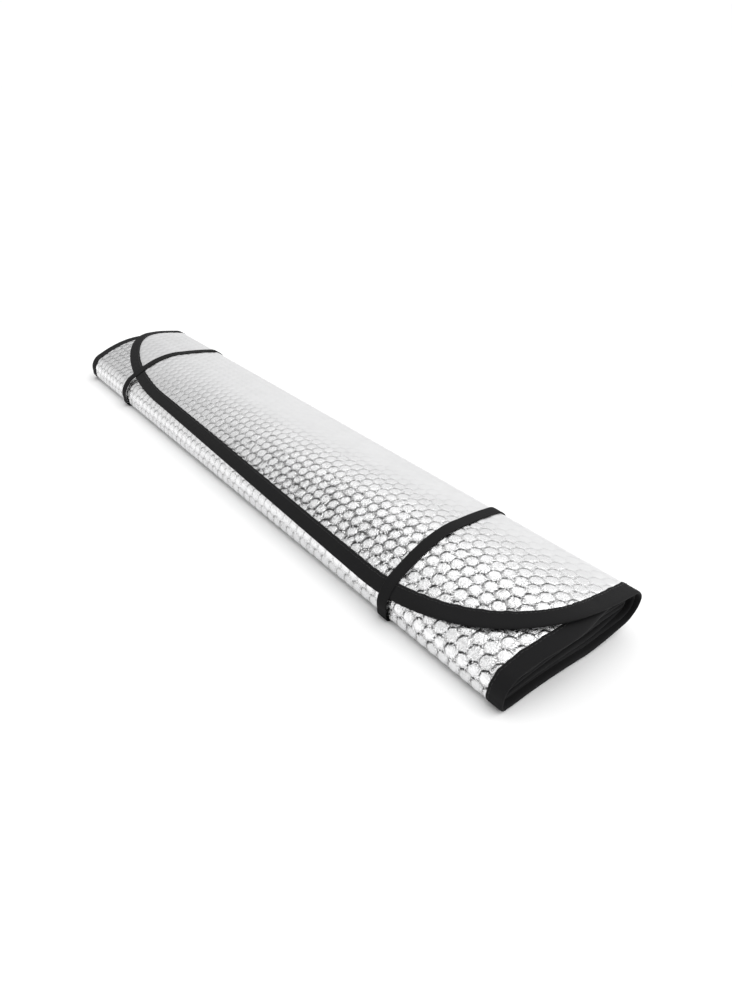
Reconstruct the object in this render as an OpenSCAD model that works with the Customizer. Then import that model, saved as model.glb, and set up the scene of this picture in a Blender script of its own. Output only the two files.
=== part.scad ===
// Bubble-foil mat, bound with black tape, rolled up flat and held by two elastic bands.
// X runs along the roll, Y across it, Z up. The origin is on the floor, under the middle.

/* [Rolled mat] */
// Length of the roll, which is the width of the mat
roll_length = 700; // [400:10:1000]
// Length of the straight run between the two folds of every turn
run_length = 108; // [90:1:160]
// Distance from one turn to the next at the folds
turn_pitch = 2.3; // [2.2:0.1:3]
// Whole turns in the roll
turns = 5; // [3:1:6]
// How many times thicker the stack is halfway across than at its folds
middle_swell = 1.9; // [1.2:0.05:2.1]
// Height that the back fold stands off the floor
back_lift = 12; // [0:1:16]
// How far the lower front fold is pressed into a corner, as a share of its radius
front_corner = 0.24; // [0:0.01:0.3]

/* [Sheet] */
// Thickness of the bubble film where a fold squeezes it
core_thickness = 1.36; // [1:0.01:1.4]
// Thickness of each foil facing
foil_thickness = 0.2; // [0.1:0.01:0.22]
// Gap that keeps bonded layers apart
bond_gap = 0.02; // [0.01:0.01:0.05]
// Thickness of the bubble film where the edge tape crushes it
hem_thickness = 0.6; // [0.4:0.01:0.8]

/* [Edge tape] */
// Width of the tape on each face of the mat
tape_width = 13; // [10:1:20]
// Plan radius of the two rounded corners on the outer flap
corner_radius = 95; // [60:1:110]
// Angle by which the free edge reaches down over the front fold
flap_lead = 30; // [10:1:40]
// Distance of the seam from the edge of the mat
seam_inset = 10.5; // [8:0.1:11]
// Width of the seam
seam_width = 0.8; // [0.5:0.1:1]
// Height of the thread above the tape
seam_height = 0.1; // [0.05:0.01:0.14]

/* [Elastic bands] */
// Width of the elastic
band_width = 10; // [8:1:20]
// Thickness of the elastic
band_thickness = 1; // [0.8:0.1:1.5]
// Distance of each band from the middle of the roll
band_x = 239; // [100:1:300]
// Clearance between the roll and a band
band_gap = 0.35; // [0.3:0.05:0.6]
// Length of the overlap where the ends of a band are sewn together
overlap_length = 18; // [12:1:24]

/* [Hidden] */

half_run = run_length / 2;
half_core = core_thickness / 2;
foil_in = half_core + bond_gap;
foil_out = foil_in + foil_thickness;
tape_out = foil_out + bond_gap;
hem_half = hem_thickness / 2;

outer_radius = turns * turn_pitch;
top_reach = outer_radius + tape_out;
bottom_reach = outer_radius - turn_pitch / 2 + tape_out;
half_width = half_run + top_reach;
floor_gap = band_gap + band_thickness;

run_steps = 5;
fold_steps = 8;
lead_steps = 3;
same_mark = 0.4;
swell_power = 1.2;
lift_start = 15;
lift_power = 1.5;
corner_power = 4;

// ---- the section of the roll ----

// How much the stack swells at the distance u from its middle
function swell(u) = 1 + (middle_swell - 1) * pow(max(0, 1 - pow(u / half_width, 2)), swell_power);

// Height of the underside above the floor plane of the roll
function lift(u) = back_lift * pow(max(0, (u - lift_start) / (half_width - lift_start)), lift_power);

// The lower half of the front fold is pressed into a corner: every point moves away from
// the centre of the fold by a share that is largest halfway round the quarter
function press(p) =
    let (
        across = max(0, -half_run - p[0]),
        down = max(0, -p[1]),
        square = max(0.01, pow(across, 2) + pow(down, 2)),
        share = front_corner * pow(2 * across * down / square, corner_power)
    )
    [p[0] - across * share, p[1] - down * share];

// Squeezed section to real section: the underside stays flat and the stack swells upward
function settle(p) =
    let (q = press(p)) [q[0], floor_gap + lift(q[0]) + (bottom_reach + q[1]) * swell(q[0])];

// One turn is a top run, the back fold, a bottom run and the front fold.
// Stage 0 is the lead over the front fold; stages 1 to 4 * turns - 1 follow it inward.
stage_count = 4 * turns - 1;
lead_length = outer_radius * flap_lead * PI / 180;
function radius_at(stage) = outer_radius - turn_pitch / 2 * floor((stage - 1) / 2);
function is_run(stage) = stage % 2 == 1;
function stage_length(stage) =
    stage == 0 ? lead_length
    : is_run(stage) ? run_length
    : PI * (radius_at(stage) - turn_pitch / 4);
stage_starts = [for (i = 0, s = 0; i <= stage_count; s = s + stage_length(i), i = i + 1) s];
sheet_length = stage_starts[stage_count] + run_length;

// Point and outward normal at the fraction f of one stage, in the squeezed section
function stage_point(stage, f) =
    let (
        bottom = floor((stage - 1) / 2) % 2 == 1,
        side = bottom ? -1 : 1,
        r = radius_at(stage) - (is_run(stage) ? 0 : turn_pitch / 2 * f),
        angle = stage == 0 ? 90 + flap_lead * (1 - f) : side * 90 - 180 * f
    )
    stage == 0 ? [-half_run + outer_radius * cos(angle), outer_radius * sin(angle),
                  cos(angle), sin(angle)]
    : is_run(stage) ? [side * (run_length * f - half_run), side * r, 0, side]
    : [side * half_run + r * cos(angle), r * sin(angle), cos(angle), sin(angle)];

// A list of numbers in rising order, each kept once
function rising(list) =
    len(list) < 2 ? list
    : let (middle = list[floor(len(list) / 2)])
      concat(rising([for (v = list) if (v < middle) v]), [middle],
             rising([for (v = list) if (v > middle) v]));

// The distances along the sheet at which its section has a corner
trims = [seam_inset, seam_inset + seam_width, tape_width];
stage_marks = [for (i = [0:stage_count])
    let (n = is_run(i) ? run_steps : (i == 0 ? lead_steps : fold_steps))
    for (j = [0:n - 1]) stage_starts[i] + stage_length(i) * j / n];
marks = rising(concat(stage_marks, trims, [for (t = trims) sheet_length - t]));

function stage_of(s) = len([for (i = [1:stage_count]) if (stage_starts[i] <= s) 1]);
function sheet_point(s) =
    let (i = stage_of(s)) stage_point(i, (s - stage_starts[i]) / stage_length(i));
function offset_point(s, h) =
    let (p = sheet_point(s)) settle([p[0] + p[2] * h, p[1] + p[3] * h]);

// Section of a layer of the sheet from start to stop, between two heights off its middle
function layer_section(start, stop, low, high) =
    let (s = concat([start], [for (m = marks) if (m > start + same_mark && m < stop - same_mark) m], [stop]))
    concat([for (v = s) offset_point(v, high)],
           [for (i = [len(s) - 1:-1:0]) offset_point(s[i], low)]);

// A section carried along the roll
module along_roll(points, length, centre = 0) {
    translate([centre - length / 2, 0, 0])
        rotate([90, 0, 90])
            linear_extrude(height = length)
                polygon(points);
}

free_edge_y = -half_run - outer_radius * sin(flap_lead);

// What the rounded corners take off the flap, for a sheet that is trimmed by inset
module corner_waste(inset) {
    spare = 5;
    corner_y = free_edge_y + corner_radius;
    flap_stop = stage_starts[1] + corner_y + half_run + spare;
    intersection() {
        along_roll(layer_section(0, flap_stop, -tape_out - 0.25, tape_out + spare),
                   roll_length + 2 * spare);
        for (end = [-1, 1])
            difference() {
                translate([end * (roll_length / 2 + spare / 2 - corner_radius / 2),
                           corner_y - corner_radius / 2 - spare / 2, half_width / 2])
                    cube([corner_radius + spare, corner_radius + spare, half_width * 2],
                         center = true);
                translate([end * (roll_length / 2 - corner_radius), corner_y, -half_width])
                    cylinder(h = half_width * 4, r = corner_radius - inset, $fn = 96);
            }
    }
}

// The rolled sheet between two heights off its middle, trimmed by inset all round
module sheet_zone(inset, low, high) {
    difference() {
        along_roll(layer_section(inset, sheet_length - inset, low, high),
                   roll_length - 2 * inset);
        corner_waste(inset);
    }
}

// ---- the pieces of the mat ----

module bubble_film() {
    hidden_edge = 0.7;
    color("lightgray") {
        sheet_zone(tape_width, -half_core, half_core);
        sheet_zone(hidden_edge, -hem_half, hem_half);
    }
}

module outer_foil() {
    color("silver")
        sheet_zone(tape_width, foil_in, foil_out);
}

module inner_foil() {
    color("silver")
        sheet_zone(tape_width, -foil_out, -foil_in);
}

module edge_tape() {
    slot_inset = 0.6;
    color("#262626")
        difference() {
            sheet_zone(0, -tape_out, tape_out);
            sheet_zone(tape_width - bond_gap, -tape_out - 0.1, tape_out + 0.1);
            sheet_zone(slot_inset, -hem_half - bond_gap, hem_half + bond_gap);
        }
}

module tape_stitching() {
    thread_low = tape_out + bond_gap;
    color("#303030")
        difference() {
            sheet_zone(seam_inset, thread_low, thread_low + seam_height);
            sheet_zone(seam_inset + seam_width, thread_low - 0.05, thread_low + seam_height + 0.05);
        }
}

// ---- the elastic bands ----

// Outline of the whole roll in the squeezed section, as an angle-free list of points
band_points = concat(
    [for (i = [0:run_steps * 2 - 1]) [half_run * (i / run_steps - 1), top_reach]],
    [for (i = [0:fold_steps - 1])
        let (a = 90 - 180 * i / fold_steps, r = top_reach - (top_reach - bottom_reach) * i / fold_steps)
        [half_run + r * cos(a), r * sin(a)]],
    [for (i = [0:run_steps * 2 - 1]) [half_run * (1 - i / run_steps), -bottom_reach]],
    [for (i = [0:fold_steps - 1])
        let (a = 270 - 180 * i / fold_steps,
             r = bottom_reach + (top_reach - bottom_reach) * min(1, i / fold_steps * 1.4))
        [-half_run + r * cos(a), r * sin(a)]]);
roll_outline = [for (p = band_points) settle(p)];

// Outward unit normal of the roll at point i of its outline
function outline_normal(i) =
    let (
        n = len(roll_outline),
        d = roll_outline[(i + 1) % n] - roll_outline[(i + n - 1) % n]
    )
    [-d[1], d[0]] / norm(d);

// The outline moved outward by a real distance
function outline_at(distance) =
    [for (i = [0:len(roll_outline) - 1]) roll_outline[i] + outline_normal(i) * distance];

band_inside = outline_at(band_gap);
band_outside = outline_at(floor_gap);

// The overlap lies on the underside near the lifted back fold
function underside_point(u, distance) =
    let (
        p = settle([u, -bottom_reach]),
        d = settle([u - 1, -bottom_reach]) - settle([u + 1, -bottom_reach])
    )
    p + [-d[1], d[0]] / norm(d) * distance;
function underside_strip(start, length, low, high, steps = 4) =
    concat([for (i = [0:steps]) underside_point(start - length * i / steps, high)],
           [for (i = [steps:-1:0]) underside_point(start - length * i / steps, low)]);
overlap_start = half_run - 1;

module elastic_band(x) {
    sink = 0.3;
    color("#1e1e1e") {
        translate([x - band_width / 2, 0, 0])
            rotate([90, 0, 90])
                linear_extrude(height = band_width)
                    difference() {
                        polygon(band_outside);
                        polygon(band_inside);
                    }
        along_roll(underside_strip(overlap_start, overlap_length, floor_gap - sink,
                                   floor_gap + band_thickness), band_width, x);
    }
}

// Two rows of tight zigzag stitches across the overlap
module bartack(x) {
    row_length = 2;
    row_inset = 2.5;
    margin = 1;
    low = floor_gap + band_thickness + bond_gap;
    color("#303030")
        for (start = [overlap_start - row_inset,
                      overlap_start - overlap_length + row_inset + row_length])
            along_roll(underside_strip(start, row_length, low, low + 0.4, 1),
                       band_width - 2 * margin, x);
}

bubble_film();
outer_foil();
inner_foil();
edge_tape();
tape_stitching();
elastic_band(band_x);  // near_band
elastic_band(-band_x);  // far_band
bartack(band_x);  // near_band_bartack
bartack(-band_x);  // far_band_bartack
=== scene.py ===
# %% [markdown]
# # A bubble-foil mat, rolled flat and held by two elastic bands
#
# The real object is one sheet of bubble film with a bright metal foil on each face.
# Black tape is folded over its edge all round and sewn down, and the sheet is rolled
# into a flat bundle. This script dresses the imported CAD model: it hides each plain
# solid and puts a finished piece in its place, in the same frame, in metres.
#
# Nearly every shape here is worked out on the flat sheet first, as a point (x, along),
# and then one function carries it onto the roll. That is how the real thing is made,
# so bubbles, tape and stitches all follow the folds without any fitting.

import bpy
import numpy as np
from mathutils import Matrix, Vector


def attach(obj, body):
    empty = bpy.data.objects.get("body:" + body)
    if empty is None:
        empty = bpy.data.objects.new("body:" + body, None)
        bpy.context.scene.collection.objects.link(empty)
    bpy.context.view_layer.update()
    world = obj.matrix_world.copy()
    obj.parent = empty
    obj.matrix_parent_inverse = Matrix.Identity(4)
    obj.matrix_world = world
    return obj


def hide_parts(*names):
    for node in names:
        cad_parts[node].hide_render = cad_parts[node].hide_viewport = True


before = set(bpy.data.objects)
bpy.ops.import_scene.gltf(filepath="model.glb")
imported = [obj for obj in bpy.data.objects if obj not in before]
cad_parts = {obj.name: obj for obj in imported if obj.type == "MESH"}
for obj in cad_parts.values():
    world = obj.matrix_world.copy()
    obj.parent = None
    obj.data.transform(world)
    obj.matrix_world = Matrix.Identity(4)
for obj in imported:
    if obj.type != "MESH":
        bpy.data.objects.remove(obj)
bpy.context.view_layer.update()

# %% [markdown]
# ## The section of the roll
#
# Seen from its end the roll is a long flat spiral: straight runs joined by round folds.
# It could be drawn by hand, but the layers must never cut through each other, so it is
# worked out. A neat spiral is made first, as if the stack were squeezed evenly. Then it
# is settled: the underside stays flat on the floor, the air in the bubbles makes the
# middle swell, the back fold stands off the floor, and the lower half of the front fold
# is pressed into a corner by the weight on it. All lengths here are in mm.

# %% Measures of the roll
# Half of the roll's length, half of a straight run, and the distance between turns.
HALF_LENGTH = 350.0
HALF_RUN = 54.0
TURN_PITCH = 2.3
TURNS = 5
# Radius of the outer turn at the middle of the sheet, and half of the sheet's thickness.
OUTER_RADIUS = TURNS * TURN_PITCH
HALF_SHEET = 0.92
# How far the squeezed stack reaches above its centre, below it, and to each side.
TOP_REACH = OUTER_RADIUS + HALF_SHEET
BOTTOM_REACH = OUTER_RADIUS - TURN_PITCH / 2 + HALF_SHEET
HALF_WIDTH = HALF_RUN + TOP_REACH
# Room under the sheet for the tape and the bands, on which the roll lies.
FLOOR_GAP = 1.0
# The middle is nearly twice as thick as the folds. The back rises from LIFT_START on.
MIDDLE_SWELL = 1.9
BACK_LIFT, LIFT_START = 12.0, 15.0
# The greatest share by which the lower front fold is pressed outward.
FRONT_CORNER = 0.24
# Points on each run and on each fold of the spiral.
POINTS_EACH = 240
print("sheet rolled up", 2 * HALF_LENGTH, "by", round(2 * HALF_WIDTH, 1), "mm, without tape")

# %% The spiral, squeezed and then settled


def swell(u):
    """How much thicker the stack is at u than at a fold: one, plus a bump over the runs."""
    return 1 + (MIDDLE_SWELL - 1) * np.clip(1 - (u / HALF_WIDTH) ** 2, 0, None) ** 1.2


def into_corner(u, v):
    """The lower half of the front fold is pressed into a corner: how far, and the share.

    There, every point moves away from the fold's centre by a share of its distance, and
    the share is largest halfway round the quarter.
    """
    across, down = np.clip(-HALF_RUN - u, 0, None), np.clip(-v, 0, None)
    share = FRONT_CORNER * (2 * across * down / np.maximum(across**2 + down**2, 1e-6)) ** 4
    return across * share, down * share, share


def settle(u, v):
    """Squeezed section to real section: y is u, and z is the lift plus v times the swell."""
    across, down, _ = into_corner(u, v)
    u, v = u - across, v - down
    lift = BACK_LIFT * np.clip((u - LIFT_START) / (HALF_WIDTH - LIFT_START), 0, None) ** 1.5
    return u, FLOOR_GAP + lift + (BOTTOM_REACH + v) * swell(u)


def spiral():
    """Runs and half circles in turn, from the nose of the front fold inward.

    On a run the curve moves straight across at the height of its turn. On a fold it
    turns half a circle while its radius shrinks by half the distance between turns.
    Every run and fold has the same number of points, and so has the quarter circle at
    the start. Returns the points and outward normals of the squeezed curve.
    """
    f = np.linspace(0, 1, POINTS_EACH, endpoint=False)
    start = np.radians(180 - 90 * f)
    points = [np.stack([-HALF_RUN + OUTER_RADIUS * np.cos(start), OUTER_RADIUS * np.sin(start)])]
    normals = [np.stack([np.cos(start), np.sin(start)])]
    for half_turn in range(2 * TURNS):
        side = 1 - 2 * (half_turn % 2)
        radius = OUTER_RADIUS - TURN_PITCH / 2 * half_turn
        points.append(np.stack([side * HALF_RUN * (2 * f - 1), side * radius + 0 * f]))
        normals.append(np.stack([0 * f, side + 0 * f]))
        if half_turn < 2 * TURNS - 1:
            angle = np.radians(90 * side - 180 * f)
            shrunk = radius - TURN_PITCH / 2 * f
            arc = np.stack([np.cos(angle), np.sin(angle)])
            points.append(np.array([[side * HALF_RUN], [0]]) + shrunk * arc)
            normals.append(arc)
    return np.concatenate(points, 1), np.concatenate(normals, 1)


# %% Distances along the sheet
CURVE, OUTWARD = spiral()
STEPS = np.hypot(*np.diff(settle(*CURVE)))
DISTANCE = np.concatenate([[0], np.cumsum(STEPS)])
SHEET_END = DISTANCE[-1]
# One turn ends halfway round the second front fold, and the core is the last turn.
ONE_TURN = DISTANCE[POINTS_EACH * 4 + POINTS_EACH // 2]
CORE_START = DISTANCE[POINTS_EACH * 17]
print("sheet from nose to core", round(SHEET_END, 1), "mm, first turn", round(ONE_TURN, 1))

# %% [markdown]
# ## From the flat sheet to the roll
#
# A point of the sheet is given by x, its place along the roll, and along, its distance
# from the nose of the outer front fold. `layer` is its height off the middle of the
# sheet, in the squeezed section, so neighbouring layers never meet. `proud` is a real
# height in mm along the real normal, for bubbles, tape and thread.
#
# Nobody rolls a mat quite true, so the turns also slide out a little at the ends. The
# slide is largest at the end itself and dies away before the middle.

# %% Carry points onto the roll
FLAP_SLIDE, SECOND_SLIDE, CORE_DRAWN = 4.5, 8.0, 5.0
# Share of the way from the middle to the end at which the slide begins.
SLIDE_START = 0.55


def bell(value, middle, width):
    """A smooth bump: one at the middle, fading away over the width to each side."""
    return np.exp(-(((value - middle) / width) ** 2))


def wander(along, near):
    """How far the end of the sheet stands out of the roll, in mm.

    Two slow waves everywhere, the flap and the second turn slid out at the near end,
    and the core drawn in at both ends.
    """
    waves = 0.9 * np.sin(along / 62 + 0.6) + 0.6 * np.sin(along / 23)
    flap = FLAP_SLIDE * bell(along, 112, 42)
    second = SECOND_SLIDE * bell(along, ONE_TURN + 64, 31)
    core = CORE_DRAWN * np.clip((along - ONE_TURN - 110) / 70, 0, 1)
    return waves + (flap + second) * near - core


def on_roll(x, along, layer=0.0, proud=0.0):
    """Points of the flat sheet carried onto the roll, as rows of (x, y, z) in metres."""
    x, along, layer, proud = np.broadcast_arrays(x, along, layer, proud)

    def section(distance):
        u, v, nu, nv = (np.interp(distance, DISTANCE, row) for row in (*CURVE, *OUTWARD))
        return settle(u + nu * layer, v + nv * layer)

    step = 0.3
    y, z = section(along)
    (y0, z0), (y1, z1) = section(along - step), section(along + step)
    long = np.hypot(y1 - y0, z1 - z0)
    y, z = y - (z1 - z0) / long * proud, z + (y1 - y0) / long * proud
    reach = np.clip(np.abs(x) / HALF_LENGTH - SLIDE_START, 0, 1) / (1 - SLIDE_START)
    shift = wander(along, x > 0) * reach
    points = np.stack([x + shift * np.sign(x), y, z], -1)
    return points.reshape(-1, 3) / 1000


# %% Make pieces from arrays


def new_piece(name, points, faces, body, slot, nodes=()):
    """A smooth mesh object from points and faces, riding on a body of the CAD model."""
    mesh = bpy.data.meshes.new(name)
    mesh.from_pydata(points.tolist(), [], faces if isinstance(faces, list) else faces.tolist())
    mesh.update()
    mesh.validate()
    mesh.shade_smooth()
    piece = bpy.data.objects.new(name, mesh)
    bpy.context.scene.collection.objects.link(piece)
    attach(piece, body)
    if nodes:
        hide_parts(*nodes)
    print(name, len(points), "points", len(faces), "faces")
    return piece


def store(piece, name, values):
    """A vector kept at every point of the piece, for its material to read."""
    kept = piece.data.attributes.new(name, "FLOAT_VECTOR", "POINT")
    kept.data.foreach_set("vector", values.astype(np.float32).ravel())


def grid_faces(rows, columns, close_rows=False, close_columns=False):
    """Four-sided faces of a grid whose points are numbered row by row, closed where asked."""
    i = np.arange(rows if close_rows else rows - 1)[:, None]
    j = np.arange(columns if close_columns else columns - 1)[None, :]
    i2, j2 = (i + 1) % rows, (j + 1) % columns
    corners = [i * columns + j, i2 * columns + j, i2 * columns + j2, i * columns + j2]
    return np.stack(np.broadcast_arrays(*corners), -1).reshape(-1, 4)


# %% [markdown]
# ## The outline of the flat sheet
#
# The free edge of the sheet ends in two broad rounded corners, a little different from
# each other, and runs slightly askew between them. The outline is one closed path: the
# free edge, one end, the hidden edge in the core, and the other end. Each corner is a
# quarter of an ellipse.

# %% Outline of the sheet
# Each free corner: the x where it begins, and how far the edge has drawn back at the end.
NEAR_CORNER = (215.0, 81.5)
FAR_CORNER = (-150.0, 94.0)
# The free edge lies this far from the nose at the near corner, and slants by SKEW.
FREE_EDGE = 6.0
SKEW = 0.03
# The hidden edge has small round corners and stops just short of the spiral's end.
CORE_CORNER = 15.0
CORE_EDGE = SHEET_END - 1.0
# No point of the free edge lies further along the sheet than this.
FLAP_END = 130.0


def free_edge(x):
    """Distance of the free edge from the nose at x: a slanted line with elliptic ends."""
    line = FREE_EDGE + SKEW * np.clip(NEAR_CORNER[0] - x, 0, NEAR_CORNER[0] - FAR_CORNER[0])
    near = np.clip((x - NEAR_CORNER[0]) / (HALF_LENGTH - NEAR_CORNER[0]), 0, 1)
    far = np.clip((FAR_CORNER[0] - x) / (HALF_LENGTH + FAR_CORNER[0]), 0, 1)
    drop = NEAR_CORNER[1] * (1 - np.sqrt(1 - near**2)) + FAR_CORNER[1] * (1 - np.sqrt(1 - far**2))
    return line + drop


# %% Walk round a closed path


def evenly(path, count):
    """A closed path again, its points at even distances round it, and those distances."""
    closed = np.concatenate([path, path[:1]])
    reach = np.concatenate([[0], np.cumsum(np.hypot(*np.diff(closed, axis=0).T))])
    even = np.linspace(0, reach[-1], count, endpoint=False)
    return np.stack([np.interp(even, reach, closed[:, k]) for k in (0, 1)], 1), even


def length_round(path):
    """Length of a closed path."""
    return np.hypot(*(np.roll(path, -1, 0) - path).T).sum()


def heading(path):
    """Unit directions along a closed path, each from the points before and after."""
    tangent = np.roll(path, -1, 0) - np.roll(path, 1, 0)
    return tangent / np.linalg.norm(tangent, axis=1, keepdims=True)


# %% The outline itself


def outline(step):
    """The closed outline as rows of (x, along), evenly spaced, and its inward directions.

    The joints between its arcs and lines are smoothed with a short moving average.
    """
    turn = np.linspace(0, np.pi / 2, 90)
    near_x = NEAR_CORNER[0] + (HALF_LENGTH - NEAR_CORNER[0]) * np.cos(turn)
    far_x = FAR_CORNER[0] - (HALF_LENGTH + FAR_CORNER[0]) * np.sin(turn)
    x_free = np.concatenate([near_x, far_x])
    inner = HALF_LENGTH - CORE_CORNER
    core_turn = np.linspace(0, np.pi / 2, 12)
    x_core = np.concatenate([-inner - CORE_CORNER * np.cos(core_turn),
                             inner + CORE_CORNER * np.sin(core_turn)])
    core_bend = CORE_CORNER * np.concatenate([np.sin(core_turn), np.cos(core_turn)])
    path = np.concatenate([
        np.stack([x_free, free_edge(x_free)], 1),
        np.stack([x_core, CORE_EDGE - CORE_CORNER + core_bend], 1)])
    path, _ = evenly(path, int(length_round(path) / step))
    spread = 6
    kernel = np.hanning(2 * spread + 3)[1:-1]
    kernel /= kernel.sum()
    wrapped = np.concatenate([path[-spread:], path, path[:spread]])
    path = np.stack([np.convolve(wrapped[:, k], kernel, "valid") for k in (0, 1)], 1)
    tangent = heading(path)
    return path, np.stack([tangent[:, 1], -tangent[:, 0]], 1)


EDGE, INWARD = outline(1.6)
EDGE_LENGTH = length_round(EDGE)
print("edge of the sheet", round(EDGE_LENGTH), "mm")


# %% How far a point lies from the edge


def edge_distance(x, along):
    """Distance of flat points from the outline, exact near the free edge."""
    gap = np.minimum(HALF_LENGTH - np.abs(x), CORE_EDGE - along)
    close = np.flatnonzero(along < FLAP_END)
    flap = EDGE[EDGE[:, 1] < FLAP_END + 20][::2]
    at_a_time = 20000
    for part in np.array_split(close, max(1, len(close) // at_a_time)):
        d = np.hypot(x[part, None] - flap[:, 0], along[part, None] - flap[:, 1]).min(1)
        outside = along[part] < free_edge(np.clip(x[part], -HALF_LENGTH, HALF_LENGTH))
        gap[part] = np.minimum(gap[part], np.where(outside, -d, d))
    return gap


# %% [markdown]
# ## The sheet
#
# The film inside the roll is never seen, so it is one plain closed strip, thin enough
# to stay below the bubbles that are laid on its outer turn. Deeper in, its faces almost
# meet those of the next turns, so that no light gets through the roll from end to end.

# %% The film, from the free edge to the core
BUBBLE_HEIGHT = 1.15
# Past this distance the outer face is hidden under the turn above it.
BURIED_FROM = ONE_TURN + 112


def ease(value, low, high):
    """Zero below low, one above high, and a smooth rise between; high may be the lower."""
    share = np.clip((value - low) / (high - low), 0, 1)
    return share * share * (3 - 2 * share)


def film_strip():
    """Grid over x and along, once for each face of the film, joined at the rim.

    The rim stops short of the edge of the sheet, inside the tape. Away from the tape a
    buried face moves out by fill, to just short of halfway to the next turn, and in the
    core the inner face moves out further. The outer turn's outer face lies just below
    the valleys between the bubbles.
    """
    covered, chink, below = 5.0, 0.03, 0.12
    x = np.linspace(-HALF_LENGTH + covered, HALF_LENGTH - covered, 61)
    share = np.linspace(0, 1, 460)
    first = free_edge(x) + covered
    along = first + (CORE_EDGE - covered - first) * share[:, None]
    x = np.broadcast_to(x, along.shape)
    bare = ease(edge_distance(x.ravel(), along.ravel()), 14, 26).reshape(along.shape)
    hidden = bare * ease(along, BURIED_FROM, BURIED_FROM + 16)
    fill = TURN_PITCH / 2 - chink - HALF_SHEET
    core = 0.55 * ease(along, CORE_START - 30, CORE_START)
    outer = on_roll(x, along, HALF_SHEET + fill * hidden, -(BUBBLE_HEIGHT + below) * (1 - hidden))
    inner = on_roll(x, along, -HALF_SHEET - (fill + core) * bare, 0.02)
    rows, columns = along.shape
    low = grid_faces(rows, columns) + rows * columns
    top = low[:, ::-1] - rows * columns
    ring = np.concatenate([np.arange(columns), np.arange(1, rows) * columns + columns - 1,
                           rows * columns - 2 - np.arange(columns - 1),
                           np.arange(rows - 2, 0, -1) * columns])
    nxt = np.roll(ring, -1)
    rim = np.stack([ring + rows * columns, nxt + rows * columns, nxt, ring], 1)
    return np.concatenate([outer, inner]), np.concatenate([top, low, rim])


# %% Make the film
film = new_piece("mat_film", *film_strip(), "roll", "foil",
                 ["bubble_film", "outer_foil", "inner_foil"])

# %% [markdown]
# ## The bubbles
#
# The foil is drawn over air bubbles that lie in a honeycomb. Displacing a fine grid would
# take millions of faces and still give ragged rims. Instead every bubble is one small
# honeycomb cell: rings of twelve points round its centre, and twelve more on the cell's
# hexagon, which it shares with its neighbours. All the cells are worked out at once.
#
# Where the roll pulls the foil tight the bubbles hardly show. Where it lies loose they
# stand out, and one flank of each is darkened with painted shade. Three values are kept
# at every point for the foil's material: how loose the foil is, whether the point is on
# a bubble's rim, and how much painted shade it gets on the shaded flank.

# %% Where the bubbles are
BUBBLE_PITCH = 10.1
BUBBLE_RADIUS = 4.75
ROW_PITCH = BUBBLE_PITCH * np.sqrt(3) / 2
# The side of a bubble that gets painted shade, as an angle on the flat sheet.
SHADED_SIDE = np.radians(135)
# A bubble whose centre is nearer the edge than this lies wholly under the tape.
CLEAR_OF_EDGE = 6.6


def bubble_cells():
    """Centres of the honeycomb that show: the outer turn, and what the flap leaves bare."""
    columns = np.arange(-36, 37)
    rows = np.arange(0, int((ONE_TURN + 130) / ROW_PITCH))
    x = (columns[None, :] + 0.5 * (rows[:, None] % 2)) * BUBBLE_PITCH
    along = (rows[:, None] + 0.5) * ROW_PITCH + 0 * x
    x, along = x.ravel(), along.ravel()
    margin = 18.0
    under = along - ONE_TURN
    bare = under < free_edge(np.clip(x, -HALF_LENGTH, HALF_LENGTH)) + margin
    keep = bare & (edge_distance(x, along) > CLEAR_OF_EDGE)
    return x[keep], along[keep]


cell_x, cell_along = bubble_cells()
print(len(cell_x), "bubbles")

# %% The pattern of one bubble
SPOKES = 12


def one_bubble():
    """A cell's points as radius, angle, level and ring, and its faces.

    The middle comes first, then four rings, then the hexagon of the valley. Level is the
    height of a perfect bubble: it falls slowly over the top and steeply at the rim. Ring
    goes from zero at the middle to one on the hexagon.
    """
    spoke = np.arange(SPOKES) * np.pi / 6 + np.pi / 6
    hexagon = BUBBLE_PITCH / 2 / np.cos((spoke + np.pi / 6) % (np.pi / 3) - np.pi / 6)
    shares = np.array([0.36, 0.58, 0.79, 0.97])
    heights = np.array([0.985, 0.9, 0.62, 0.14])
    radius = np.concatenate([[0.0], np.repeat(shares * BUBBLE_RADIUS, SPOKES), hexagon])
    angle = np.concatenate([[0.0], np.tile(spoke, 5)])
    level = np.concatenate([[0.96], np.repeat(heights, SPOKES), np.zeros(SPOKES)])
    ring = np.concatenate([[0.0], np.repeat(shares, SPOKES), np.ones(SPOKES)])
    one = np.arange(SPOKES)
    two = (one + 1) % SPOKES
    fan = np.stack([0 * one, 1 + one, 1 + two, 1 + two], 1)
    belts = [np.stack([1 + one, 1 + SPOKES + one, 1 + SPOKES + two, 1 + two], 1) + SPOKES * b
             for b in range(4)]
    return radius, angle, level, ring, np.concatenate([fan, *belts])


# %% All the bubbles of a panel


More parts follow.
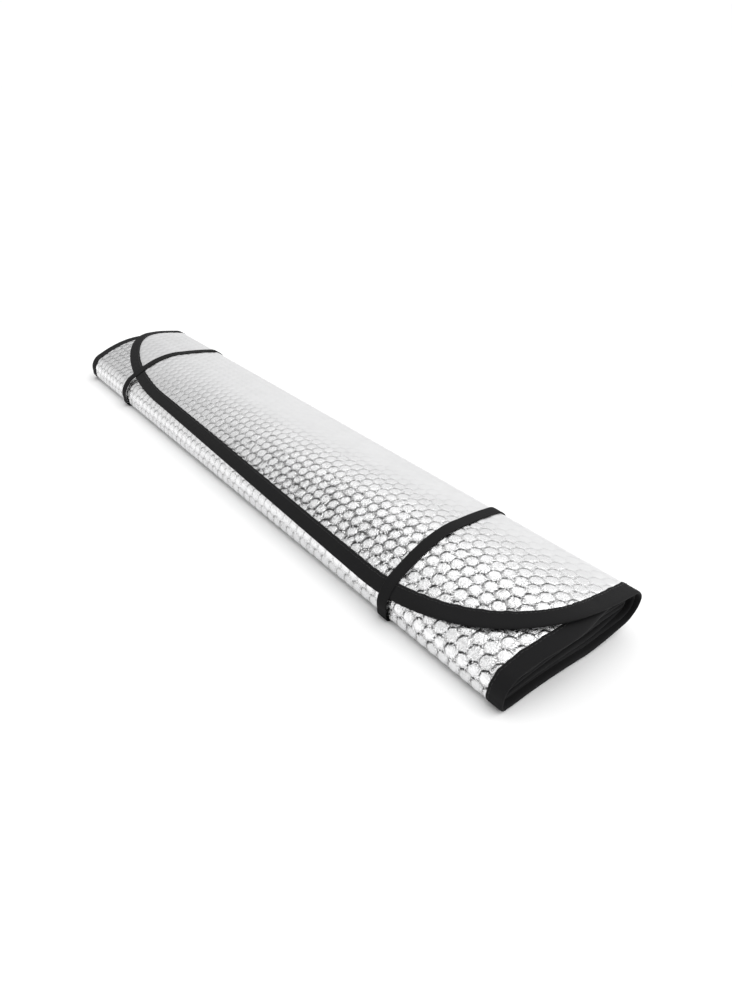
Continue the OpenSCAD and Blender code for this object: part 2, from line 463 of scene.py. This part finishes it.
def bubble_sheet(cell_x, cell_along, seed):
    """Every cell at once: the x, along, height and flank of its points, and the faces.

    Every bubble gets its own fill and lean, some are dented in the middle, and noise
    roughens them. Flank is one on the side that gets painted shade and zero on the
    other. Corners that cells share are kept once.
    """
    random = np.random.default_rng(seed)
    radius, angle, level, ring, pattern = one_bubble()
    count = len(cell_x)
    fill = random.uniform(0.84, 1.0, (count, 1))
    dent = np.clip(random.normal(0.0, 0.16, (count, 1)), 0, 0.4)
    lean = random.normal(0, 0.05, (count, 2, 1))
    height = fill * level - dent * np.clip(1 - (ring / 0.62) ** 2, 0, 1)
    tilt = lean[:, 0] * np.cos(angle) * ring + lean[:, 1] * np.sin(angle) * ring
    height = height + (tilt + random.normal(0, 0.05, height.shape)) * (level > 0.3)
    height = np.clip(height, 0, 1)
    x = cell_x[:, None] + radius * np.cos(angle)
    along = cell_along[:, None] + radius * np.sin(angle)
    flank = 0.5 + 0.5 * np.cos(angle - SHADED_SIDE) * (ring > 0) * (level > 0) + 0 * x
    faces = (pattern[None] + np.arange(count)[:, None, None] * len(level)).reshape(-1, 4)
    x, along, height, flank = x.ravel(), along.ravel(), height.ravel(), flank.ravel()
    key = np.round(np.stack([x, along], 1) * 20).astype(int)
    _, first, same = np.unique(key, axis=0, return_index=True, return_inverse=True)
    return x[first], along[first], height[first], flank[first], same.ravel()[faces]


def tidy_fans(faces):
    """Faces whose last two corners are one point become triangles."""
    return [face[:3] if face[2] == face[3] else face for face in faces.tolist()]


# %% How loose the foil lies


def looseness(x, along):
    """One where the foil lies loose and crumpled, zero where the roll pulls it flat.

    On the flap, it is tight on top and loosens towards the free edge and the near end.
    Past the top it is a little loose. On the second turn it is fully loose only near the
    near end, where the flap is narrow.
    """
    flap = ease(along - 0.11 * x, 104, 26) * (0.25 + 0.75 * ease(x, -300, 170))
    corner = ease(x, 180, 260) * ease(along, ONE_TURN - 14, ONE_TURN + 8)
    return flap + ease(along, 126, 150) * (0.4 + 0.6 * corner)


def beside_tape(x, along):
    """One beside the free edge, from the middle to the near band, where painted shade is
    strongest.
    """
    return ease(along - 0.11 * x, 75, 20) * ease(x, -180, 60) * (1 - 0.6 * ease(x, 200, 260))


# %% The outer face in three panels


def bubble_piece(name, mask, seed):
    """One panel of the bubbled face, flattened where the tape or a tight turn squashes it."""
    x, along, height, flank, faces = bubble_sheet(cell_x[mask], cell_along[mask], seed)
    loose = looseness(x, along)
    squash = 0.12 + 0.88 * ease(edge_distance(x, along), 9.5, 14.5)
    relief = 0.2 + 0.5 * loose
    proud = BUBBLE_HEIGHT * (squash * (1 - relief * (1 - height)) - 1)
    piece = new_piece(name, on_roll(x, along, HALF_SHEET, proud), tidy_fans(faces), "roll", "foil")
    rim = loose * ease(height, 0.9, 0.6)
    # Painted shade: the foil's colour is darkened low on one flank of each loose bubble, and more
    # beside the tape.
    tape_shade = beside_tape(x, along)
    flank_shade = loose * (0.03 + 0.2 * tape_shade + 0.97 * flank**3)
    flank_shade = flank_shade * ease(height, 0.35 + 0.6 * flank + 0.25 * tape_shade, 0.05)
    store(piece, "Foil", np.stack([loose, rim, flank_shade], 1))
    return piece


panel_of = np.digitize(cell_along, [ONE_TURN * 0.42, ONE_TURN * 0.8])
facings = [bubble_piece(f"foil_face_{i + 1}", panel_of == i, 10 + i) for i in range(3)]

# %% [markdown]
# ## The edge tape
#
# The tape is a woven strip folded over the edge of the sheet and sewn, so its section is
# a flat loop with one round side. Carried along the outline it makes one closed ring
# with no ends. The sheet is lumpy under it: its sewn edge steps in and out round the
# bubbles, and its face rises a little over each of them. Where it shows it is thin.
# Where it is buried in the roll, it puffs up until it almost meets the next turn.

# %% The thickness of the hem
TAPE_WIDTH = 13.0
EDGE_STEPS = np.arange(len(EDGE)) * EDGE_LENGTH / len(EDGE)


def at_edge(distance):
    """Point of the outline and its inward direction at a distance round it."""
    distance = np.asarray(distance) % EDGE_LENGTH
    steps = np.append(EDGE_STEPS, EDGE_LENGTH)
    values = np.concatenate([EDGE, INWARD], 1)
    values = np.concatenate([values, values[:1]])
    found = np.stack([np.interp(distance, steps, values[:, k]) for k in range(4)], -1)
    return found[..., :2], found[..., 2:]


def honeycomb(x, along):
    """One at the middle of each bubble and about minus a half between them: three cosines."""
    k = 2 * np.pi / ROW_PITCH
    row = along - ROW_PITCH / 2
    return (np.cos(k * row) + np.cos(k * (x * np.sqrt(3) / 2 + row / 2))
            + np.cos(k * (x * np.sqrt(3) / 2 - row / 2))) / 3


def hem_height(along, side):
    """Half the thickness of the hem in mm: thin where it shows, puffed up where it is buried.

    A buried face fills nearly half the distance between turns, and more in the core.
    """
    u, v = (np.interp(along, DISTANCE, row) for row in CURVE)
    stack = swell(u)
    start = np.where(side > 0, ONE_TURN, 0) + 95
    core = ease(along, CORE_START - 30, CORE_START) * (side < 0)
    buried = TURN_PITCH * 0.48 * stack * (1 + 0.5 * core) * (1 + into_corner(u, v)[2])
    return 0.95 * stack**0.45 + (buried - 0.95 * stack**0.45) * ease(along, start, start + 30)


# %% Tape all round the edge


def tape_face(distance, inset, side, extra=0.0):
    """Points of the tape: inset from the edge, on the outer (1) or inner (-1) side."""
    start, inward = at_edge(distance)
    scallop = 0.45 * honeycomb(start[..., 0], start[..., 1]) * np.clip(inset / TAPE_WIDTH, 0, 1)
    spot = start + inward * (inset + scallop)[..., None]
    lumps = 0.16 * honeycomb(spot[..., 0], spot[..., 1]) * np.clip((inset - 3) / 6, 0, 1)
    lumps = lumps * ease(spot[..., 1], ONE_TURN + 120, ONE_TURN + 90)
    proud = side * (hem_height(spot[..., 1], side) + lumps) + extra
    return on_roll(spot[..., 0], spot[..., 1], 0.0, proud)


def tape_ring(step=1.6):
    """The folded section, as (inset, side), carried round the whole outline."""
    half = np.array([[TAPE_WIDTH, 0.5], [12.75, 0.92], [11.6, 1.0], [9.0, 1.0], [6.0, 1.0],
                     [3.5, 0.99], [1.7, 0.93], [0.7, 0.75], [0.15, 0.42]])
    section = np.concatenate([half, [[0.0, 0.0]], half[::-1] * [1, -1]])
    count = int(EDGE_LENGTH / step)
    distance = np.broadcast_to(np.arange(count)[:, None] * EDGE_LENGTH / count,
                               (count, len(section)))
    inset = np.broadcast_to(section[:, 0], distance.shape)
    side = np.broadcast_to(section[:, 1], distance.shape)
    points = tape_face(distance, inset, side)
    faces = grid_faces(count, len(section), True, True)
    weave = np.stack([distance, inset * np.where(side < 0, -1, 1), side], -1).reshape(-1, 3)
    return points, faces, weave


# %% Make the tape
tape_points, tape_faces, tape_weave = tape_ring()
tape = new_piece("tape_ring", tape_points, tape_faces, "roll", "tape", ["edge_tape"])
store(tape, "Weave", tape_weave)

# %% [markdown]
# ## The stitching
#
# A lock stitch shows as a row of short thread ends, each diving into the tape. One small
# tapered capsule is worked out and set down some twelve hundred times.

# %% Stitches round the tape
STITCH_PITCH = 3.2
SEAM_INSET = 10.7


def stitch_row():
    """A capsule of six sides whose middle stands proud and whose ends sink into the tape."""
    count = int(EDGE_LENGTH / STITCH_PITCH)
    along_thread = np.array([-1.25, -0.95, 0.0, 0.95, 1.25])
    thick = np.array([0.03, 0.17, 0.22, 0.17, 0.03])
    rise = np.array([-0.2, 0.0, 0.1, 0.0, -0.2])
    angle = np.arange(6) * np.pi / 3
    distance = (np.arange(count)[:, None, None] * EDGE_LENGTH / count
                + along_thread[None, :, None] + 0 * angle)
    inset = SEAM_INSET + thick[None, :, None] * np.cos(angle) + 0 * distance
    extra = rise[None, :, None] + thick[None, :, None] * np.sin(angle) + 0 * distance
    points = tape_face(distance, inset, 1.0, extra)
    tube = grid_faces(5, 6, False, True)
    caps = np.array([[0, 1, 2, 3], [0, 3, 4, 5], [27, 26, 25, 24], [29, 28, 27, 24]])
    one = np.concatenate([tube, caps])
    points_each = len(thick) * len(angle)
    faces = (one[None] + np.arange(count)[:, None, None] * points_each).reshape(-1, 4)
    return points, faces


stitches = new_piece("tape_stitches", *stitch_row(), "roll", "thread", ["tape_stitching"])

# %% [markdown]
# ## The elastic bands
#
# A band is a flat woven elastic, stretched round the roll, with its ends lapped and sewn
# under the back edge. It takes the shortest way round, so it bridges the step below the
# free edge. Its section has fine lengthwise ribs, because a real elastic shows the
# rubber cords between its woven threads.

# %% The way round the roll
BAND_WIDTH, BAND_THICKNESS = 10.0, 0.8
# A band stands this far off the sheet, and has this many ribs.
BAND_GAP = 0.12
RIBS = 7
# The lap lies from one y to the other, and below a height, which leaves the top out.
LAP_FROM, LAP_TO, LAP_TOP = 35.0, 53.0, 16.0


def band_path(lead, count=300):
    """Outline of the roll as a band feels it, evenly spaced, with outward directions.

    Squeezed section: straight over and under, half circles at the ends. The front one
    grows from the lower radius to the upper one by the angle lead, where the flap ends.
    """
    f = np.linspace(0, 1, 120, endpoint=False)
    back = np.radians(90 - 180 * f)
    back_radius = TOP_REACH + (BOTTOM_REACH - TOP_REACH) * f
    front = np.radians(270 - 180 * f)
    growth = np.clip(180 * f / (270 - lead), 0, 1)
    front_radius = BOTTOM_REACH + (TOP_REACH - BOTTOM_REACH) * growth
    u = np.concatenate([HALF_RUN * (2 * f - 1), HALF_RUN + back_radius * np.cos(back),
                        HALF_RUN * (1 - 2 * f), -HALF_RUN + front_radius * np.cos(front)])
    v = np.concatenate([TOP_REACH + 0 * f, back_radius * np.sin(back),
                        -BOTTOM_REACH + 0 * f, front_radius * np.sin(front)])
    path, even = evenly(np.stack(settle(u, v), 1), count)
    tangent = heading(path)
    return path, np.stack([-tangent[:, 1], tangent[:, 0]], 1), even


def lapped(path, inset=0.0):
    """True where the band's ends lie over each other, under the back edge."""
    u, height = path[:, 0], path[:, 1]
    return (u > LAP_FROM + inset) & (u < LAP_TO - inset) & (height < LAP_TOP)


# %% One band


def band_ring(middle, slant, lead):
    """Ribbed outer face, rounded selvedges and a flat inner face, carried round the roll."""
    path, outward, reach = band_path(lead)
    across = np.linspace(-1, 1, 8 * RIBS + 1)
    ribs = 0.05 * np.cos(across * RIBS * np.pi) * (np.abs(across) < 0.97)
    edge = 0.28 * np.clip((np.abs(across) - 0.9) / 0.1, 0, 1) ** 2
    lap = lapped(path).astype(float)
    outer = BAND_GAP + BAND_THICKNESS * (1 + 0.8 * lap[:, None]) + ribs - edge
    inner_across = np.array([0.97, 0.5, -0.5, -0.97])
    inner = BAND_GAP + np.array([0.2, 0, 0, 0.2]) + 0 * lap[:, None]
    height = np.concatenate([outer, inner], 1)
    across = np.concatenate([across, inner_across])
    yz = path[:, None] + outward[:, None] * height[..., None]
    x = middle + slant * path[:, :1] / HALF_WIDTH + across * BAND_WIDTH / 2
    points = np.concatenate([x[..., None], yz], 2).reshape(-1, 3) / 1000
    faces = grid_faces(len(path), len(across), True, True)[:, ::-1]
    weave = np.stack(np.broadcast_arrays(reach[:, None], across * BAND_WIDTH / 2, 0.0), -1)
    return points, faces, weave.reshape(-1, 3)


# %% Its sewn lap


def bartack(middle, slant, lead):
    """Two rows of zigzag thread across the lap: a thin tube whose centre swings to and fro."""
    path, outward, _ = band_path(lead)
    under = np.flatnonzero(lapped(path, 1.0))
    swings, sides = 72, 6
    t = np.linspace(0, 1, swings * 2)
    zig = (np.arange(len(t)) % 4 > 1).astype(float)
    points, faces = [], []
    angle = np.arange(sides) * 2 * np.pi / sides
    for row, place in enumerate((under[2], under[-3])):
        centre_y = path[place, 0] + 1.6 * (zig - 0.5)
        z = np.interp(centre_y, path[under, 0][::-1], path[under, 1][::-1])
        lift = BAND_GAP + BAND_THICKNESS * 1.8 + 0.08
        out = outward[place]
        x = middle + slant * centre_y / HALF_WIDTH + (t - 0.5) * (BAND_WIDTH - 1.6)
        line = np.stack([x, centre_y + out[0] * lift, z + out[1] * lift], 1)
        ring = 0.16 * np.stack([np.cos(angle), 0 * angle, np.sin(angle)], 1)
        points.append((line[:, None] + ring).reshape(-1, 3) / 1000)
        shift = row * len(t) * sides
        last = shift + (len(t) - 1) * sides
        caps = np.array([[0, 1, 2, 3], [0, 3, 4, 5]])
        faces.append(np.concatenate([grid_faces(len(t), sides, False, True) + shift,
                                     caps[:, ::-1] + shift, caps + last]))
    return np.concatenate(points), np.concatenate(faces)


# %% Both bands
bands, bartacks = [], []
# For each side: the band's middle, its slant, and the angle at which the flap ends.
for side, middle, slant, lead in (("near", 232.5, -6.5, 150), ("far", -240.0, -4.0, 108)):
    points, faces, weave = band_ring(middle, slant, lead)
    band = new_piece(f"{side}_elastic", points, faces, f"{side}_band", "elastic",
                     [f"{side}_band"])
    store(band, "Weave", weave)
    tack = new_piece(f"{side}_bartack", *bartack(middle, slant, lead), f"{side}_band",
                     "thread", [f"{side}_band_bartack"])
    bands.append(band)
    bartacks.append(tack)

# %% [markdown]
# ## Shader maths as arithmetic
#
# A node tree is hard to read as a list of links. This small class wraps one socket, so
# that an expression such as `1 - mask * 0.4` adds its own Math nodes.

# %% A socket that does arithmetic


class Wire:
    """One output of a node tree; + - * and their reflected forms add Math nodes."""

    def __init__(self, tree, socket=None):
        self.tree, self.socket = tree, socket

    def node(self, kind, settings, inputs, out=0):
        """Add a node: its settings, then values or wires for its inputs.

        Inputs and the output are named, or numbered where several share a name.
        """
        made = self.tree.nodes.new(kind)
        for name, value in settings.items():
            setattr(made, name, value)
        for name, value in inputs.items():
            if isinstance(value, Wire):
                self.tree.links.new(value.socket, made.inputs[name])
            else:
                made.inputs[name].default_value = value
        return Wire(self.tree, made.outputs[out])

    def output(self, out):
        """Another output of the node that this wire comes from."""
        return Wire(self.tree, self.socket.node.outputs[out])

    def maths(self, operation, a, b=0.0):
        """One Math node on two values or wires."""
        return self.node("ShaderNodeMath", {"operation": operation}, {0: a, 1: b})

    def __add__(self, other):
        return self.maths("ADD", self, other)

    def __radd__(self, other):
        return self.maths("ADD", other, self)

    def __sub__(self, other):
        return self.maths("SUBTRACT", self, other)

    def __rsub__(self, other):
        return self.maths("SUBTRACT", other, self)

    def __mul__(self, other):
        return self.maths("MULTIPLY", self, other)

    def __rmul__(self, other):
        return self.maths("MULTIPLY", other, self)

    def sine(self):
        return self.maths("SINE", self)

    def between(self, low, high):
        """Zero below low, one above high, and a smooth rise between."""
        return self.node("ShaderNodeMapRange", {"interpolation_type": "SMOOTHSTEP"},
                         {"Value": self, "From Min": low, "From Max": high})

    def tint(self, dark, light):
        """A colour from dark to light as this value goes from 0 to 1.

        A Mix node's inputs 6 and 7 and its output 2 are the ones for colour.
        """
        return self.node("ShaderNodeMix", {"data_type": "RGBA"},
                         {0: self, 6: (*dark, 1), 7: (*light, 1)}, out=2)


def finish_of(name):
    """A new material, its Principled shader and a bare wire to start expressions from."""
    material = bpy.data.materials.new(name)
    material.use_nodes = True
    tree = material.node_tree
    return material, tree.nodes["Principled BSDF"], Wire(tree)


def plug(shader, name, wire):
    """Link a wire into one of the shader's sockets."""
    wire.tree.links.new(wire.socket, shader.inputs[name])


def wear(piece, material):
    """Give a piece its material in place of any it has."""
    piece.data.materials.clear()
    piece.data.materials.append(material)


# %% [markdown]
# ## Foil
#
# The facing is a metallised film. Pulled tight it is dull and milky. Lying loose, it is
# nearly a mirror, finely creased where it was drawn over the bubbles. The bubbles are
# geometry. Only the creases, which are thinner than a hair, are left to a bump. Painted
# shade darkens the colour on one flank of each loose bubble and along thin fold lines.
#
# All this follows the three values kept on the points: loose, rim and flank_shade. One
# noise makes soft patches, one the creases, and one, wisps, the folds. A fold is drawn where
# that noise passes through one half, which gives thin wandering grooves darkened with painted
# shade.

# %% Foil finish
foil, shader, start = finish_of("crinkled_foil")
spot = start.node("ShaderNodeTexCoord", {}, {}, out="Object")
kept = start.node("ShaderNodeAttribute", {"attribute_name": "Foil"}, {}, out="Vector")
loose = start.node("ShaderNodeSeparateXYZ", {}, {"Vector": kept}, out="X")
rim, flank_shade = loose.output("Y"), loose.output("Z")
patch = start.node("ShaderNodeTexNoise", {}, {"Vector": spot, "Scale": 60.0, "Detail": 2.0})
creases = start.node("ShaderNodeTexNoise", {}, {"Vector": spot, "Scale": 360.0, "Detail": 3.0,
                                               "Roughness": 0.55, "Distortion": 1.2})
wisps = start.node("ShaderNodeTexNoise", {}, {"Vector": spot, "Scale": 300.0, "Detail": 2.0,
                                             "Distortion": 2.0})
# Thin fold lines: a shallow groove in the bump, and painted shade in the colour.
fold_and_shade = start.maths("ABSOLUTE", wisps - 0.5).between(0.045, 0.01) * (rim * 0.7 + loose * 0.3)
# Painted shade on the shaded flank of each loose bubble, broken up by the wisps noise.
shade = flank_shade * wisps.between(0.36, 0.52) * 1.9
bump = start.node("ShaderNodeBump", {}, {
    "Strength": 1.0, "Distance": 0.0007,
    "Height": creases * (rim * 0.9 + loose * 0.1 + 0.03) - fold_and_shade * 0.2})
plug(shader, "Normal", bump)
plug(shader, "Roughness", patch * 0.06 + 0.37 - loose.between(0.0, 0.6) * 0.34)
# Painted shade: the fold lines and the shaded bubble flanks darken the foil's colour.
silver = patch * 0.06 + 0.8 + loose * 0.15 - fold_and_shade * 0.5 - shade
plug(shader, "Base Color", silver.tint((0.03, 0.03, 0.03), (0.96, 0.96, 0.965)))
shader.inputs["Metallic"].default_value = 1.0
for piece in (film, *facings):
    wear(piece, foil)
print(foil.name, len(foil.node_tree.nodes), "nodes")

# %% [markdown]
# ## Tape, elastic and thread
#
# The tape is a plain woven black strip: fine ribs run across it. The elastic is denser,
# with its ribs lengthwise. Both read the flat position stored on their points, so the
# weave follows every fold.

# %% Woven finishes


def woven(name, dark, light, across_mm, along_mm, depth, rough):
    """Two crossing sine waves for warp and weft, dusted with noise."""
    material, shader, start = finish_of(name)
    place = start.node("ShaderNodeAttribute", {"attribute_name": "Weave"}, {}, out="Vector")
    along = start.node("ShaderNodeSeparateXYZ", {}, {"Vector": place}, out="X")
    warp = (along * (2 * np.pi / along_mm)).sine()
    weft = (along.output("Y") * (2 * np.pi / across_mm)).sine()
    dust = start.node("ShaderNodeTexNoise", {}, {"Vector": place, "Scale": 1.3, "Detail": 4.0})
    cloth = warp * weft * 0.25 + warp * 0.25 + 0.5
    plug(shader, "Base Color", (cloth * 0.5 + dust * 0.5).tint(dark, light))
    plug(shader, "Roughness", dust * 0.12 + rough)
    plug(shader, "Normal", start.node("ShaderNodeBump", {}, {
        "Strength": 0.5, "Distance": depth / 1000, "Height": cloth + dust * 0.4}))
    shader.inputs["Specular IOR Level"].default_value = 0.12
    shader.inputs["Sheen Weight"].default_value = 0.02
    shader.inputs["Sheen Roughness"].default_value = 0.5
    return material


# %% Dress the tape, the elastic and the thread
tape_cloth = woven("black_tape", (0.007, 0.007, 0.0073), (0.014, 0.014, 0.0145),
                   across_mm=1.1, along_mm=0.75, depth=0.12, rough=0.82)
elastic_cloth = woven("black_elastic", (0.006, 0.006, 0.0062), (0.012, 0.012, 0.0124),
                      across_mm=0.7, along_mm=1.2, depth=0.1, rough=0.8)
thread_cloth, shader, start = finish_of("black_thread")
spot = start.node("ShaderNodeTexCoord", {}, {}, out="Object")
fibre = start.node("ShaderNodeTexNoise", {}, {"Vector": spot, "Scale": 900.0, "Detail": 2.0})
plug(shader, "Base Color", fibre.tint((0.008, 0.008, 0.0084), (0.016, 0.016, 0.0165)))
plug(shader, "Roughness", fibre * 0.15 + 0.5)
wear(tape, tape_cloth)
wear(stitches, thread_cloth)
for band in bands:
    wear(band, elastic_cloth)
for tack in bartacks:
    wear(tack, thread_cloth)
print([cloth.name for cloth in (tape_cloth, elastic_cloth, thread_cloth)])

# %% [markdown]
# ## Floor, light and camera
#
# The object is almost a mirror, so it shows its surroundings more than its own colour.
# A bright room all round makes it read as pale silver. Three soft patches of the room
# are darker: one low behind the far end, one higher beside it, and one round the camera.
# They give the bubbles their dark edges. A broad soft sun, high behind the near end, casts
# a faint shadow in front of the roll. The floor is plain, nearly white and very wide, and
# the room behind it is seen as plain white, so that no horizon shows.

# %% Floor
FLOOR_REACH = 60.0
floor_mesh = bpy.data.meshes.new("floor")
floor_mesh.from_pydata([(x * FLOOR_REACH, y * FLOOR_REACH, 0)
                        for x, y in ((-1, -1), (1, -1), (1, 1), (-1, 1))], [], [(0, 1, 2, 3)])
floor = bpy.data.objects.new("floor", floor_mesh)
bpy.context.scene.collection.objects.link(floor)
paper, shader, _ = finish_of("white_paper")
shader.inputs["Base Color"].default_value = (0.9, 0.9, 0.9, 1)
shader.inputs["Roughness"].default_value = 0.9
shader.inputs["Specular IOR Level"].default_value = 0.0
wear(floor, paper)
print("floor", 2 * FLOOR_REACH, "m wide")

# %% Room
world = bpy.data.worlds.new("studio")
bpy.context.scene.world = world
world.use_nodes = True
sky = Wire(world.node_tree)
way = sky.node("ShaderNodeTexCoord", {}, {}, out="Generated")
up = sky.node("ShaderNodeSeparateXYZ", {}, {"Vector": way}, out="Z")


def facing(azimuth, elevation, wide, narrow):
    """One where the room lies within the narrow angle of a direction, zero past the wide."""
    a, e = np.radians(azimuth), np.radians(elevation)
    unit = (np.cos(a) * np.cos(e), np.sin(a) * np.cos(e), np.sin(e))
    near = sky.node("ShaderNodeVectorMath", {"operation": "DOT_PRODUCT"}, {0: way, 1: unit},
                    out="Value")
    return near.between(np.cos(np.radians(wide)), np.cos(np.radians(narrow)))


far_low = facing(173, 7, 25, 9) * 0.6
far_high = facing(207, 47, 30, 10) * 0.35
by_camera = facing(-38, 31, 48, 18) * 0.6
dark = far_low + far_high + by_camera
light = sky.maths("MAXIMUM", up.between(0.5, 0.9) * 0.35 + 0.93 - dark, 0.02)
seen = sky.node("ShaderNodeLightPath", {}, {}, out="Is Camera Ray")
glow = sky.maths("MAXIMUM", light, seen * 1.02)
backdrop = world.node_tree.nodes["Background"]
world.node_tree.links.new(glow.socket, backdrop.inputs["Color"])
backdrop.inputs["Strength"].default_value = 1.0
print("room", len(world.node_tree.nodes), "nodes")

# %% Sun
lamp = bpy.data.lights.new("soft_key", "SUN")
lamp.energy, lamp.angle = 1.75, np.radians(85)
light_travels = Vector((-0.53, -0.47, -0.71))
key = bpy.data.objects.new("soft_key", lamp)
key.rotation_mode = "QUATERNION"
key.rotation_quaternion = light_travels.to_track_quat("-Z", "Y")
bpy.context.scene.collection.objects.link(key)
print("sun", round(lamp.energy, 2), "spread over", round(np.degrees(lamp.angle)), "degrees")

# %% Camera
eye = bpy.data.objects.new("camera", bpy.data.cameras.new("camera"))
eye.data.sensor_width = 36.0
eye.data.lens = 24.84
eye.location = (0.5252, -0.3009, 0.3210)
looks_along = Vector((-0.6779, 0.5233, -0.5163))
eye.rotation_mode = "QUATERNION"
eye.rotation_quaternion = looks_along.to_track_quat("-Z", "Y")
eye.data.clip_start, eye.data.clip_end = 0.01, 50
bpy.context.scene.collection.objects.link(eye)
bpy.context.scene.camera = eye
bpy.context.scene.view_settings.view_transform = "Standard"
print("camera at", [round(place, 3) for place in eye.location], "m")
